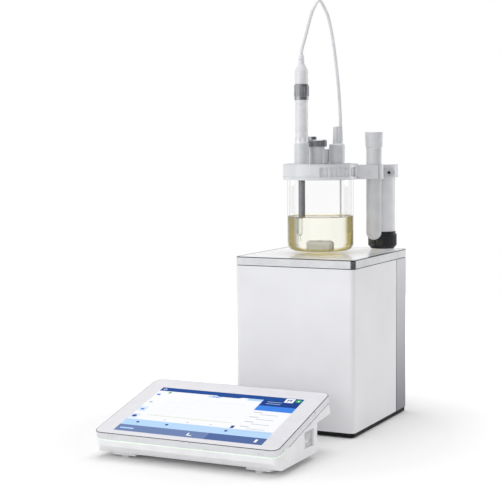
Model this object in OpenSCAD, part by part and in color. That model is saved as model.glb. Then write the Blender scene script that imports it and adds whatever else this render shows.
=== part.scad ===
// Automatic titrator: a bench cabinet with a magnetic stirrer, a swinging stand that carries the
// titration head and its glass vessel, and a separate touch terminal that stands in front of it.
// Millimetres, +Z up. The origin is on the table, in the middle of the whole set's floor area.

/* [Cabinet] */
// Width of the cabinet
cab_w = 140; // [125:1:170]
// Depth of the cabinet, front to back
cab_d = 166; // [161:1:190]
// Height of the cabinet's top face above the table
cab_h = 190; // [170:1:230]
// Radius of the upright corners
corner_r = 5.5; // [5:0.5:12]
// Wall thickness of the two outer covers
cover_wall = 2.5; // [2:0.1:3]
// Depth of the rear cover, front to back
rear_cover_d = 34; // [28:1:40]
// Width of the open joint between front and rear cover
cover_joint = 1.2; // [0.6:0.1:2]
// Height of the rubber feet
foot_h = 1; // [0.8:0.1:4]
// Diameter of the rubber feet
foot_d = 16; // [10:1:22]
// Height of the dark plinth between feet and covers
plinth_h = 4.5; // [3:0.1:8]
// How far the plinth stands back from the covers
plinth_inset = 1; // [0.8:0.1:2]

/* [Cabinet top] */
// Height of the metal band round the top
band_h = 9; // [7.5:0.5:12]
// Wall thickness of the metal band
band_wall = 2.2; // [1.8:0.1:2.8]
// Width of the seal between the band and the top plate
seal_w = 0.8; // [0.5:0.1:1.2]
// Thickness of the white top plate
tray_t = 3.5; // [3:0.1:4.5]
// Height of the seal between the band and the covers
cover_seal_h = 0.8; // [0.5:0.1:1.5]

/* [Stirrer] */
// Diameter of the stirrer motor
motor_d = 34; // [28:1:38]
// Length of the stirrer motor
motor_len = 25; // [18:1:32]
// Diameter of the motor shaft
shaft_d = 3; // [2:0.5:4]
// Diameter of the disc that carries the drive magnets
magnet_disc_d = 40; // [34:1:42]
// Diameter of each drive magnet
magnet_d = 10; // [8:1:11]
// Length of the stirring bar
bar_len = 25; // [15:1:26]
// Diameter of the stirring bar
bar_d = 8; // [6:0.5:9]

/* [Stand] */
// Distance of the column's axis from the cabinet's right side
column_from_right = 20; // [19:0.5:24]
// Distance of the column's axis from the cabinet's rear
column_from_rear = 28; // [25:0.5:30]
// Outer diameter of the column tube
column_d = 28.5; // [27:0.5:30]
// Wall thickness of the column tube
column_wall = 2; // [1.5:0.1:2.5]
// Diameter of the steel guide post inside the column
post_d = 16; // [12:0.5:17]
// How far the stand can be pulled up
lift_travel = 40; // [30:1:45]
// Height of the ribbed clamping nut
nut_h = 19.3; // [16:0.1:24]
// Thickness of the light flange under the nut
flange_t = 2.5; // [2:0.1:4]
// Wall of the arm's collar round the column
collar_wall = 3.4; // [3:0.1:3.8]
// Height of the arm and its ring
arm_h = 16; // [14:0.5:20]

/* [Vessel] */
// Distance of the vessel's axis from the cabinet's left side
vessel_from_left = 69; // [66:0.5:70]
// Distance of the vessel's axis from the cabinet's front
vessel_from_front = 77; // [74:0.5:78]
// Outer diameter of the glass vessel
vessel_d = 74; // [73:0.5:76]
// Wall thickness of the glass vessel
vessel_wall = 2.4; // [2:0.1:3]
// Height of the glass vessel
vessel_h = 90; // [86:1:100]
// Outer radius of the vessel's bottom edge
vessel_corner_r = 8; // [5:0.5:10]
// Clear height between the top plate and the vessel
vessel_gap = 3.5; // [3.3:0.1:6]
// Depth of the sample in the vessel
sample_depth = 34.5; // [28:0.5:38]
// How far the locking ring lets the vessel down
ring_drop = 3; // [2:0.1:3]
// Wall thickness of the ribbed locking ring
ring_wall = 2.3; // [2:0.1:3]
// Wall thickness of the fixed ring on the arm
holder_wall = 2; // [1.6:0.1:2.4]

/* [Titration head] */
// Thickness of the head plate inside the ring
head_t = 3.5; // [3:0.1:5]
// Thickness of the rim that lies on the ring
rim_t = 1.5; // [1.2:0.1:2.5]
// Thickness of the seal under the head plate
head_seal_t = 1.5; // [1:0.1:2]
// Outer diameter of the electrode port
port_d = 16.2; // [15.5:0.1:16.4]
// Diameter of the gland
gland_d = 17.8; // [16.5:0.1:18]
// Height of the electrode port above the rim
port_h = 22.7; // [18:0.1:28]
// Height of the filling port above the rim
fill_port_h = 19; // [15:0.5:24]
// Diameter of the ribbed filling cap
fill_cap_d = 21.8; // [20:0.1:22]
// Height of the ribbed filling cap
fill_cap_h = 7.7; // [6:0.1:10]
// Outer diameter of the parking tube below its cup
park_d = 17; // [16:0.1:17.6]
// Wall thickness of the parking tube
park_wall = 1.2; // [1:0.1:1.6]
// Distance of the parking tube's axis in front of the column's axis
park_from_column = 27.5; // [27.2:0.1:32]

/* [Electrode] */
// Diameter of the electrode's shaft
shaft_el_d = 7.5; // [6.5:0.1:8]
// Diameter of the electrode's white head
el_head_d = 14.2; // [13.6:0.1:14.6]
// Length of the electrode's white head
el_head_len = 41.6; // [35:0.2:55]
// Height of the knurled collar
collar_h = 16.8; // [14:0.1:20]
// Diameter of the knurled collar
collar_d = 16.6; // [15.4:0.1:17]
// Diameter of the sensor lead
lead_d = 3.6; // [3:0.1:3.8]

/* [Terminal] */
// Width of the terminal
term_w = 204; // [190:1:220]
// Depth of the terminal's sloping face
term_d = 133; // [125:1:145]
// Slope of the face
term_tilt = 14; // [12:0.5:16]
// Height of the face's front edge above the table
term_front_z = 27; // [26:0.5:32]
// Distance of the terminal's left edge left of the cabinet
term_left = 67; // [55:1:90]
// Distance of the terminal's front edge in front of the cabinet
term_front = 185; // [160:1:220]
// Thickness of the cover glass
glass_t = 1.6; // [1.2:0.1:2.5]
// Thickness of the upper frame, glass included
frame_t = 7.5; // [7:0.1:9]
// Height of the light guide under the frame
light_t = 1.2; // [0.8:0.1:2]
// Radius of the terminal's corners
term_r = 8; // [6:0.5:10]
// Wall thickness of the terminal's housing
term_wall = 2.4; // [2:0.1:3]
// Width of the screen
screen_w = 164.7; // [150:0.1:172]
// Depth of the screen
screen_d = 104.3; // [95:0.1:108]

/* [Clearances] */
// Radial clearance of turning and sliding fits
run_gap = 0.05; // [0.02:0.01:0.08]
// Radial clearance of loose parts such as caps and rings
loose_gap = 0.2; // [0.1:0.05:0.3]

/* [Hidden] */

$fn = 64;
eps = 0.01; // cutters run past the faces they cut by this much

white = "#EDEEF0";
silver = "#9DA0A6";
dark = "#25272A";
metal = "#C9CCD0";
port_grey = "#C3C6CA";
steel = "#A6A9AD";
board_green = "#2F5E46";

// The whole set's floor area is centred on the origin.
set_w = term_left + cab_w;
set_d = term_front + cab_d;
cab_x = set_w / 2 - cab_w;
cab_y = set_d / 2 - cab_d;
term_x = -set_w / 2;
term_y = -set_d / 2;

// Cabinet levels and inner faces
cover_z = foot_h + plinth_h;
band_z = cab_h - band_h;
covers_top = band_z - cover_seal_h;
rear_y = cab_y + cab_d;
rear_front_y = rear_y - rear_cover_d;
tray_inset = band_wall + seal_w;
tray_z = cab_h - tray_t;
ledge_t = 3;
ledge_w = 6;
upstand_h = 4;
upstand_t = 2;

// Vessel and column axes
vessel_x = cab_x + vessel_from_left;
vessel_y = cab_y + vessel_from_front;
column_x = cab_x + cab_w - column_from_right;
column_y = rear_y - column_from_rear;
park_x = column_x;
park_y = column_y - park_from_column;

// Head levels, from the vessel up
vessel_z = cab_h + vessel_gap;
vessel_r = vessel_d / 2;
vessel_in_r = vessel_r - vessel_wall;
vessel_floor_t = 3;
rim_over = 1; // the vessel's rim stands out by this
rim_h = 2.5;
mouth_z = vessel_z + vessel_h;
head_z = mouth_z + head_seal_t;
rim_z = head_z + head_t;
head_top = rim_z + rim_t;
head_r = vessel_r + rim_over;
ring_in_r = vessel_r + 0.3;
ring_out_r = ring_in_r + ring_wall;
holder_in_r = ring_out_r + loose_gap;
holder_r = holder_in_r + holder_wall;
arm_z = rim_z - arm_h;
lip_h = 3.4; // height of the locking ring's lip below the holder
holder_z = arm_z + lip_h + loose_gap;
ring_top = rim_z - 2;
sample_z = vessel_z + vessel_floor_t;

// Places of the ports on the head: [distance from the axis, angle]
electrode_at = [25.5, 239.3];
gland_at = [26, 64];
gland_body_at = [25.2, 65.5]; // the gland's body lies a little beside its bore
fill_at = [3.6, 206];
vent_at = [19.6, 140];
blank_at = [22, 99];
lead_hole_at = [3.1, 26];

// Heights of the ports and of what stands in them
port_top = head_top + port_h;
adapter_top = port_top + 6.2;
el_head_top = adapter_top + el_head_len;
collar_top = el_head_top + collar_h;
fill_top = head_top + fill_port_h;
vent_top = head_top + 22;
blank_top = head_top + 16;
gland_seat = 1.5;
gland_top = head_top + 22;
insert_r = 5.3;
insert_top = gland_top + 19.2;
plug_cyl_h = 18;
plug_cone_h = 4.4;
boot_h = 9.6;
boot_z = collar_top + plug_cyl_h + plug_cone_h;
boot_top = boot_z + boot_h;

// Electrode and dosing tube inside the vessel
tip_end_z = vessel_z + 10.5;
stem_top_z = sample_z + sample_depth - 1;
tube_end_z = sample_z + sample_depth - 9;

// Stand
column_r = column_d / 2;
nut_z = cab_h + flange_t + 0.1;
column_z = nut_z + 3.6;
collar_r = column_r + collar_wall;
collar_lid_t = 2;
column_top = rim_z - collar_lid_t;
bush_z = column_z + 2;
bush_h = 30;
post_top = bush_z + bush_h + lift_travel + 3;
nut_r = column_r + 2.05;
knob_angle = -48;
knob_len = 7;
knob_wing_r = 4;
knob_t = 2;
park_r = park_d / 2;
park_boss_r = park_r + loose_gap + 2.3;
park_bottom = vessel_z + 10.1;
park_cup_z = head_top + 18.3;
park_cup_h = 16.4;

// Stirrer levels
shelf_z = tray_z - 14.5;
shelf_t = 1.5;
disc_z = shelf_z + shelf_t + 2.5;
disc_t = 7;
magnet_r = magnet_d / 2;
magnet_at = magnet_disc_d / 2 - magnet_r - 1.5;

// Chassis
chassis_t = 1.5;
chassis_l = cab_x + 14;
chassis_r = cab_x + cab_w - 14 - chassis_t;
chassis_front = cab_y + 20;
rear_wall_in = rear_y - cover_wall;
lug = 8;
lug_z = [cover_z + 14, covers_top - 26];
board_gap = 4;

// Socket panel in the rear cover
panel_w = 96;
panel_h = 44;
panel_t = 1.5;
panel_z = cover_z + 34;
panel_x = cab_x + cab_w / 2;

// Terminal levels
part_w = frame_t + light_t;
glass_edge = 0.7;
display_t = 3.4;
term_floor_z = 6;
term_back_y = 94;
overhang_t = 12;
pad_h = 2.5;
socket_w = 22;
socket_h = 17;
socket_at = [74, 23.5];
screen_at = [(term_w - screen_w) / 2 - 0.7, 8.3];

// Route of the sensor lead. Over the top: x and y from the vessel's axis, z from the boot's top.
lead_over = [[-13.02, -21.93, 0], [-12.5, -21.9, 5.5], [-10.5, -21.9, 12.5], [-6.8, -22.4, 23.5],
    [-3.5, -21.6, 36.5], [-1.5, -18.8, 46.5], [-0.4, -14, 53.5], [-0.3, -7.6, 58.5],
    [-1.1, -0.5, 61.2], [-2, 6.7, 60.7], [-2.3, 13.3, 57.5], [-1.5, 19, 52], [0.2, 22.8, 44.5],
    [2, 25.2, 33.5], [3.9, 26.6, 21.5], [5.9, 27.4, 6.5]];
// Down to the insert: x and y as before, z as a share of the height from its top to the boot's top
lead_down = [[7.9, 27.7, 0.88], [10.7, 27.2, 0.585], [12.9, 26, 0.29], [13.9, 25, 0.125],
    [14.18, 24.73, 0]];
lead_route = concat(
    [for (p = lead_over) [vessel_x + p[0], vessel_y + p[1], boot_top + p[2]]],
    [for (p = lead_down)
        [vessel_x + p[0], vessel_y + p[1], insert_top + p[2] * (boot_top - insert_top)]]);
lead_sides = 8;
lead_steps = 2;

// ---- shared shapes ----

module at_polar(centre, place) {
    translate([centre[0] + place[0] * cos(place[1]), centre[1] + place[0] * sin(place[1]), 0])
        children();
}

module on_vessel() { translate([vessel_x, vessel_y, 0]) children(); }
module on_column() { translate([column_x, column_y, 0]) children(); }
module on_park() { translate([park_x, park_y, 0]) children(); }
module on_port(place) { on_vessel() at_polar([0, 0], place) children(); }

// Rectangle with round corners, its lower left corner at the origin
module round_rect(w, d, r) {
    translate([r, 0]) square([w - 2 * r, d]);
    translate([0, r]) square([w, d - 2 * r]);
    for (x = [r, w - r], y = [r, d - r]) translate([x, y]) circle(r);
}

// The cabinet's outline, set in by i
module footprint(i) {
    translate([cab_x + i, cab_y + i]) round_rect(cab_w - 2 * i, cab_d - 2 * i, max(corner_r - i, 0.5));
}

// A wall of thickness t that follows the cabinet's outline, set in by i
module outline_wall(i, t) {
    difference() {
        footprint(i);
        footprint(i + t);
    }
}

module disc(r, z0, z1) { translate([0, 0, z0]) cylinder(h = z1 - z0, r = r); }

module tube(r_out, r_in, z0, z1) {
    difference() {
        disc(r_out, z0, z1);
        disc(r_in, z0 - eps, z1 + eps);
    }
}

// Round grooves of radius r cut along a drum of radius drum_r
module grooves(count, drum_r, r, z0, z1, from = 0) {
    for (i = [0 : count - 1])
        rotate(from + i * 360 / count) translate([drum_r, 0, 0]) disc(r, z0, z1);
}

// The web between two round bosses, its flanks tangent to circles r1 and r2 about their centres
module web(p1, r1, p2, r2) {
    span = norm(p2 - p1);
    heading = atan2(p2[1] - p1[1], p2[0] - p1[0]);
    lean = acos((r1 - r2) / span);
    polygon([for (c = [[p1, r1, 1], [p2, r2, 1], [p2, r2, -1], [p1, r1, -1]])
        c[0] + c[1] * [cos(heading + c[2] * lean), sin(heading + c[2] * lean)]]);
}

// ---- cabinet ----

module base_plate() {
    color(dark) {
        difference() {
            translate([0, 0, foot_h]) linear_extrude(plinth_h) footprint(plinth_inset);
            for (i = [0 : 4])
                translate([cab_x + cab_w / 2 - 30, cab_y + 58 + i * 9, 0])
                    cube([60, 3, cover_z + 1]);
        }
        translate([0, 0, cover_z - eps]) linear_extrude(upstand_h + eps)
            outline_wall(cover_wall + loose_gap, upstand_t);
    }
}

module feet() {
    reach = max(foot_d / 2, corner_r) + 3;
    color(dark) for (x = [cab_x + reach, cab_x + cab_w - reach], y = [cab_y + reach, rear_y - reach])
        translate([x, y, 0]) rotate_extrude()
            polygon([[0, 0], [foot_d / 2 - 0.6, 0], [foot_d / 2, 0.6], [foot_d / 2, foot_h], [0, foot_h]]);
}

module front_cover() {
    depth = cab_d - rear_cover_d - cover_joint;
    chamfer = 1.2;
    color(white) translate([0, 0, cover_z]) linear_extrude(covers_top - cover_z) difference() {
        intersection() {
            outline_wall(0, cover_wall);
            translate([cab_x - 1, cab_y - 1]) square([cab_w + 2, depth + 1]);
        }
        // chamfer along the open joint
        for (x = [cab_x, cab_x + cab_w]) translate([x, cab_y + depth]) rotate(45)
            square(chamfer * sqrt(2), center = true);
    }
}

// Air slots high in the rear wall, and the window for the sockets below them
module rear_cuts() {
    slot_pitch = 7;
    slot_count = floor((cab_w - 50) / slot_pitch);
    slots_w = (slot_count - 1) * slot_pitch;
    for (i = [0 : slot_count - 1])
        translate([cab_x + cab_w / 2 - slots_w / 2 + i * slot_pitch, rear_y + 1, covers_top - 44])
            rotate([90, 0, 0]) linear_extrude(cover_wall + 2)
                translate([-1.25, 0]) round_rect(2.5, 32, 1.2);
    translate([panel_x - panel_w / 2 + 4, rear_y + 1, panel_z + 4]) rotate([90, 0, 0])
        linear_extrude(cover_wall + 2) round_rect(panel_w - 8, panel_h - 8, 3);
}

module rear_cover() {
    lug_x = [chassis_l + chassis_t + lug / 2, chassis_r - lug / 2];
    color(silver) difference() {
        translate([0, 0, cover_z]) linear_extrude(covers_top - cover_z) intersection() {
            outline_wall(0, cover_wall);
            translate([cab_x - 1, rear_front_y]) square([cab_w + 2, rear_cover_d + 1]);
        }
        rear_cuts();
        for (x = lug_x, z = lug_z) translate([x, rear_y + 1, z]) rotate([90, 0, 0]) {
            cylinder(h = cover_wall + 2, r = 1.7);
            cylinder(h = 2.4, r = 3.2);
        }
    }
}

module cover_seal() {
    color(dark) translate([0, 0, covers_top]) linear_extrude(cover_seal_h) outline_wall(0.8, 1.6);
}

module top_band() {
    color(metal) {
        translate([0, 0, band_z]) linear_extrude(band_h) outline_wall(0, band_wall);
        translate([0, 0, tray_z - ledge_t]) linear_extrude(ledge_t)
            outline_wall(band_wall - eps, ledge_w + eps);
    }
}

module tray_seal() {
    color(dark) translate([0, 0, tray_z]) linear_extrude(tray_t - 0.3)
        outline_wall(band_wall, seal_w);
}

module top_tray() {
    color(white) difference() {
        translate([0, 0, tray_z]) linear_extrude(tray_t) footprint(tray_inset);
        on_column() disc(column_r - 4.5, tray_z - 1, cab_h + 1);
        on_vessel() disc(magnet_disc_d / 2 + 3, tray_z - 1, tray_z + 1.5);
    }
}

// Steel plate that spreads the stand's load under the top plate
module mount_plate() {
    half = 14;
    color(steel) on_column() difference() {
        translate([-half, -half, tray_z - ledge_t])
            linear_extrude(ledge_t) intersection() {
                round_rect(2 * half, 2 * half, 3);
                translate([0, 0]) square([half + column_from_right - tray_inset - ledge_w, 2 * half]);
            }
        disc(column_r - 4.5, tray_z - ledge_t - 1, cab_h);
    }
}

module chassis() {
    wall_h = shelf_z - cover_z;
    depth = rear_wall_in - chassis_front - cover_wall - upstand_t - 1;
    color(steel) difference() {
        union() {
            for (x = [chassis_l, chassis_r])
                translate([x, chassis_front, cover_z]) cube([chassis_t, depth, wall_h]);
            translate([chassis_l, chassis_front, shelf_z])
                cube([chassis_r + chassis_t - chassis_l, 90, shelf_t]);
            for (x = [chassis_l + chassis_t, chassis_r - 10])
                translate([x, chassis_front, cover_z]) cube([10, 100, chassis_t]);
            for (x = [chassis_l + chassis_t, chassis_r - lug], z = lug_z)
                translate([x, rear_wall_in - lug, z - lug / 2]) cube([lug, lug, lug]);
            for (y = [chassis_front + 12, chassis_front + 92], z = [cover_z + 34, shelf_z - 34])
                translate([chassis_l + chassis_t, y, z]) rotate([0, 90, 0])
                    cylinder(h = board_gap, r = 2.5);
        }
        on_vessel() disc(4 + loose_gap, shelf_z - 1, shelf_z + shelf_t + 1);
        for (x = [chassis_l + chassis_t + lug / 2, chassis_r - lug / 2], z = lug_z)
            translate([x, rear_wall_in + 1, z]) rotate([90, 0, 0]) cylinder(h = lug + 2, r = 1.5);
        for (i = [0 : 4]) translate([chassis_l - 1, chassis_front + 18 + i * 16, cover_z + 70])
            cube([chassis_r - chassis_l + 4, 8, 30]);
    }
}

module mainboard() {
    color(board_green) translate([chassis_l + chassis_t + board_gap, chassis_front + 4, cover_z + 26])
        cube([1.6, 98, shelf_z - cover_z - 52]);
}

// Chips, connectors and the heat sink on the mainboard
module board_parts() {
    x = chassis_l + chassis_t + board_gap + 1.6;
    y = chassis_front + 12;
    z = cover_z + 34;
    color(dark) translate([x, y, z]) {
        cube([2.5, 18, 18]);
        translate([0, 26, 4]) cube([1.8, 12, 22]);
        translate([0, 48, 0]) cube([9, 10, 26]);
        translate([0, 64, 0]) cube([12, 16, 10]);
        for (i = [0 : 4]) translate([0, 4 + i * 7, 40]) cube([8, 4, 16]);
    }
}

module power_board() {
    x = chassis_r - 44;
    y = chassis_front + 12;
    z = cover_z + chassis_t;
    color(board_green) translate([x, y, z + 5]) cube([40, 84, 1.6]);
    color(dark) {
        for (dx = [36, 5], dy = [6, 78]) translate([x + dx, y + dy, dx < 20 ? z - chassis_t : z])
            cylinder(h = dx < 20 ? 5 + chassis_t : 5, r = 2.2);
        translate([x + 6, y + 10, z + 6.6]) cube([26, 24, 20]);
        for (dy = [46, 62]) translate([x + 18, y + dy, z + 6.6]) cylinder(h = 24, r = 6.5);
    }
}

module stirrer_motor() {
    shaft_r = shaft_d / 2;
    color(steel) on_vessel() difference() {
        union() {
            disc(motor_d / 2, shelf_z - motor_len, shelf_z);
            disc(4, shelf_z - eps, shelf_z + shelf_t + 0.5);
        }
        disc(shaft_r + run_gap, shelf_z - 14, shelf_z + shelf_t + 1);
    }
}

module magnet_holder() {
    color(dark) on_vessel() difference() {
        union() {
            disc(magnet_disc_d / 2, disc_z, disc_z + disc_t);
            disc(5, disc_z - 1.2, disc_z + eps);
            disc(shaft_d / 2, shelf_z - 12, disc_z);
        }
        for (s = [-1, 1]) translate([s * magnet_at, 0, 0]) disc(magnet_r, disc_z + 2, disc_z + disc_t + 1);
    }
}

module drive_magnets() {
    color(steel) on_vessel() for (s = [-1, 1])
        translate([s * magnet_at, 0, 0]) disc(magnet_r, disc_z + 2, disc_z + disc_t);
}

module socket_panel() {
    color(dark) translate([panel_x - panel_w / 2, rear_wall_in, panel_z]) rotate([90, 0, 0])
        linear_extrude(panel_t) round_rect(panel_w, panel_h, 3);
}

// A socket's round shell standing out of the panel, with a core inside it
module round_socket(dx, dz, r, core_r) {
    translate([panel_x + dx, rear_y - 0.1, panel_z + dz]) rotate([90, 0, 0]) {
        difference() {
            cylinder(h = cover_wall - 0.1, r = r);
            translate([0, 0, -1]) cylinder(h = cover_wall - 0.1, r = r - 1.1);
        }
        cylinder(h = cover_wall - 0.1, r = core_r);
    }
}

module power_socket() {
    color(steel) round_socket(-34, 13, 4.6, 1.4);
}

// Two host sockets and one device socket, each with its tongue
module data_sockets() {
    size = [13.4, 6];
    color(metal) for (p = [[-22, 10], [-22, 20], [-2, 10]])
        translate([panel_x + p[0], rear_wall_in, panel_z + p[1]]) difference() {
            cube([size[0], cover_wall - 0.2, size[1]]);
            for (z = [0.7, 3.3])
                translate([0.7, 0.8, z]) cube([size[0] - 1.4, cover_wall, 2]);
        }
}

module sensor_sockets() {
    color(steel) for (i = [0 : 2]) round_socket(17 + i * 10.5, 13, 4.2, 1.6);
    color(steel) for (i = [0 : 1]) round_socket(20 + i * 15, 29, 5.2, 2.4);
}

module cover_screws() {
    color(steel) for (x = [chassis_l + chassis_t + lug / 2, chassis_r - lug / 2], z = lug_z)
        translate([x, rear_y - 0.2, z]) rotate([90, 0, 0]) difference() {
            union() {
                cylinder(h = 1.2, r = 3);
                cylinder(h = cover_wall + 5, r = 1.5);
            }
            translate([0, 0, -1]) cylinder(h = 1.9, r = 1.3, $fn = 6);
        }
}

// ---- stand ----

module column_base() {
    color(white) on_column() difference() {
        union() {
            disc(column_r - 0.8, cab_h, cab_h + flange_t);
            disc(column_r - 4.5, tray_z - ledge_t, cab_h + eps);
        }
        disc(post_d / 2, tray_z - ledge_t - 1, cab_h + flange_t + 1);
    }
}

module guide_post() {
    color(metal) on_column() disc(post_d / 2, tray_z - ledge_t, post_top);
}

module guide_bush() {
    color(white) on_column()
        tube(column_r - column_wall - run_gap, post_d / 2 + run_gap / 2, bush_z, bush_z + bush_h);
}

module column() {
    color(port_grey) on_column() difference() {
        disc(column_r, column_z, column_top);
        disc(column_r - column_wall, column_z - 1, column_top - 3);
        disc(column_r - column_wall + 0.6, column_z - 1, bush_z);
    }
}

module clamp_nut() {
    ribs = 26;
    bore_r = column_r + loose_gap;
    top = nut_z + nut_h;
    color(dark) on_column() difference() {
        rotate_extrude() polygon([[column_r - 3, nut_z], [nut_r - 3.1, nut_z], [nut_r, column_z],
            [nut_r, top - 3], [nut_r - 1.3, top - 2.6], [nut_r - 1.3, top], [bore_r, top],
            [bore_r, column_z - 0.3], [column_r - 3, column_z - 0.3]]);
        grooves(ribs, nut_r + 0.6, 1.1, nut_z - 1, top - 4.4);
    }
}

// The arm: a fixed ring round the head, a spring clip for the parking tube and a collar on the column
module arm() {
    v = [vessel_x, vessel_y];
    c = [column_x, column_y];
    p = [park_x, park_y];
    window_from = -68;
    window_to = 4;
    window_top = rim_z - 2.2;
    collar_z = arm_z + 1.1;
    collar_h2 = arm_h - 1.5;
    color(port_grey) difference() {
        union() {
            on_vessel() disc(holder_r, holder_z, rim_z);
            on_park() disc(park_boss_r, arm_z, rim_z);
            on_column() disc(collar_r, collar_z, collar_z + collar_h2);
            translate([0, 0, collar_z]) linear_extrude(collar_h2) web(v, 15, c, 13);
            translate([0, 0, arm_z]) linear_extrude(arm_h) web(v, 13, p, park_boss_r - 0.05);
            translate([0, 0, collar_z]) linear_extrude(collar_h2) web(p, 6, c, 6);
        }
        on_vessel() disc(holder_in_r, arm_z - 1, rim_z + 1);
        on_vessel() disc(holder_r + loose_gap, arm_z - 1, holder_z);
        on_column() disc(column_r, arm_z - 1, column_top);
        on_park() disc(park_r + loose_gap, arm_z - 1, rim_z + 1);
        // slit that lets the clip spring open round the tube
        on_park() rotate(-38) translate([0, -0.6, arm_z - 1]) cube([park_boss_r + 4, 1.2, arm_h + 2]);
        // thumb window over the locking ring's ribs
        on_vessel() rotate([0, 0, window_from]) translate([0, 0, arm_z - 1])
            rotate_extrude(angle = window_to - window_from)
                translate([holder_in_r - 1, 0]) square([holder_wall + 3, window_top - arm_z + 1]);
        knob_seat() translate([0, 0, -collar_wall - 1])
            cylinder(h = collar_wall + 2, r = 1.5 + run_gap);
    }
}

// The clamp knob's axis, pointing out of the collar to the front right
module knob_seat() {
    on_column() rotate(knob_angle) translate([collar_r, 0, arm_z + arm_h * 0.42]) rotate([0, 90, 0])
        children();
}

// Two-winged knob that lies close to the collar, each wing dished for a finger
module clamp_knob() {
    back = 0.3;
    wing_at = knob_len - knob_wing_r;
    color(port_grey) knob_seat() difference() {
        translate([0, 0, back]) {
            cylinder(h = knob_t + 0.4, r = 3.1);
            for (s = [-1, 1]) {
                translate([0, s * wing_at, 0]) cylinder(h = knob_t, r = knob_wing_r);
                linear_extrude(knob_t) web([0, 0], 2.4, [0, s * wing_at], knob_wing_r - 0.05);
            }
        }
        translate([0, 0, -1]) cylinder(h = knob_t + 3, r = 1.5);
        for (s = [-1, 1]) translate([0, s * wing_at, knob_t + 5.2]) sphere(6);
    }
}

module clamp_screw() {
    color(dark) knob_seat() difference() {
        translate([0, 0, -collar_wall]) cylinder(h = collar_wall + knob_t + 1, r = 1.5);
        translate([0, 0, knob_t]) cylinder(h = 2, r = 0.8, $fn = 6);
    }
}

// ---- head ----

// One port: a sleeve on the head plate, from the plate up to its top
module sleeve(place, r, top) {
    on_port(place) disc(r, head_z, top);
}

module head_plate() {
    port_r = port_d / 2;
    color(port_grey) difference() {
        union() {
            on_vessel() disc(head_r, head_z, rim_z + eps);
            on_vessel() difference() {
                disc(holder_r, rim_z, head_top);
                disc(holder_r - 3, head_top - 0.9, head_top + 1);
            }
            sleeve(electrode_at, port_r, port_top);
            sleeve(fill_at, port_r + 0.1, fill_top);
            on_port(fill_at) disc(port_r + 0.7, fill_top - 2.4, fill_top);
            sleeve(vent_at, 5.2, vent_top);
            sleeve(blank_at, 3.6, head_top + 6);
            sleeve(gland_body_at, gland_d / 2 - 0.6, head_top + gland_seat);
        }
        on_port(electrode_at) disc(port_r - 2, head_z - 1, port_top + 1);
        on_port(fill_at) disc(port_r - 2, head_z - 1, fill_top + 1);
        on_port(vent_at) disc(3.2, head_z - 1, vent_top + 1);
        on_port(blank_at) disc(2.4, head_z - 1, head_top + 7);
        on_port(gland_at) at_polar([0, 0], lead_hole_at) disc(1, head_z - 1, head_top + 3);
    }
}

module head_seal() {
    color(white) on_vessel() tube(head_r, vessel_in_r - 1.5, mouth_z, head_z);
}

module locking_ring() {
    ribs = 46;
    color(port_grey) on_vessel() difference() {
        rotate_extrude() polygon([[ring_in_r, arm_z], [holder_r - 0.6, arm_z],
            [holder_r, arm_z + 0.6], [holder_r, arm_z + lip_h], [ring_out_r, arm_z + lip_h],
            [ring_out_r, ring_top], [head_r + 0.3, ring_top],
            [head_r + 0.3, mouth_z - rim_h], [ring_in_r, mouth_z - rim_h]]);
        grooves(ribs, ring_out_r + 1.1, 1.9, arm_z + lip_h + 0.8, ring_top - 0.6);
    }
}

// ---- vessel ----

// The upright half of a round-bottomed cup's outline: radius r, floor at z0, top at z1, corner c
module cup_half(r, z0, z1, c) {
    translate([0, z0]) square([r - c, c]);
    translate([0, z0 + c]) square([r, z1 - z0 - c]);
    intersection() {
        translate([r - c, z0 + c]) circle(c);
        translate([r - c, z0]) square([c, c]);
    }
}

module vessel() {
    inner_c = max(vessel_corner_r - vessel_wall, 1);
    color([0.86, 0.92, 0.93, 0.35]) on_vessel() rotate_extrude() difference() {
        union() {
            cup_half(vessel_r, vessel_z, mouth_z, vessel_corner_r);
            translate([vessel_r - 1, mouth_z - rim_h]) square([rim_over + 1, rim_h]);
        }
        cup_half(vessel_in_r, sample_z, mouth_z + 1, inner_c);
    }
}

// The sample, with room for the turning bar and for what dips into it
module sample() {
    inner_c = max(vessel_corner_r - vessel_wall, 1);
    level = sample_z + sample_depth;
    color([0.93, 0.84, 0.45, 0.5]) difference() {
        on_vessel() rotate_extrude() cup_half(vessel_in_r, sample_z, level, inner_c);
        on_vessel() disc(bar_len / 2 + 1, sample_z - 1, sample_z + bar_d + 2);
        on_port(electrode_at) disc(shaft_el_d / 2 + 0.8, tip_end_z - 1, level + 1);
        on_port(gland_at) at_polar([0, 0], lead_hole_at) disc(1.6, tube_end_z - 1, level + 1);
    }
}

module stir_bar() {
    half = bar_len / 2 - bar_d / 2;
    ring = 0.3;
    color(white) on_vessel() translate([0, 0, sample_z + bar_d / 2 + ring + 0.2]) {
        rotate([0, 90, 0]) cylinder(h = 2 * half, r = bar_d / 2, center = true);
        rotate([0, 90, 0]) cylinder(h = 2.4, r = bar_d / 2 + ring, center = true);
        for (s = [-1, 1]) translate([s * half, 0, 0]) sphere(bar_d / 2);
    }
}

// ---- what stands in the ports ----

module filling_cap() {
    cap_r = fill_cap_d / 2;
    bore_r = port_d / 2 - 2;
    color(dark) on_port(fill_at) difference() {
        union() {
            rotate_extrude() polygon([[0, fill_top], [cap_r, fill_top], [cap_r, fill_top + fill_cap_h - 1],
                [cap_r - 1, fill_top + fill_cap_h], [0, fill_top + fill_cap_h]]);
            disc(bore_r - loose_gap, fill_top - 7, fill_top + eps);
        }
        grooves(28, cap_r + 0.5, 0.9, fill_top - 1, fill_top + fill_cap_h - 1.6);
        disc(cap_r - 3, fill_top + fill_cap_h - 0.8, fill_top + fill_cap_h + 1);
    }
}

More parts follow.
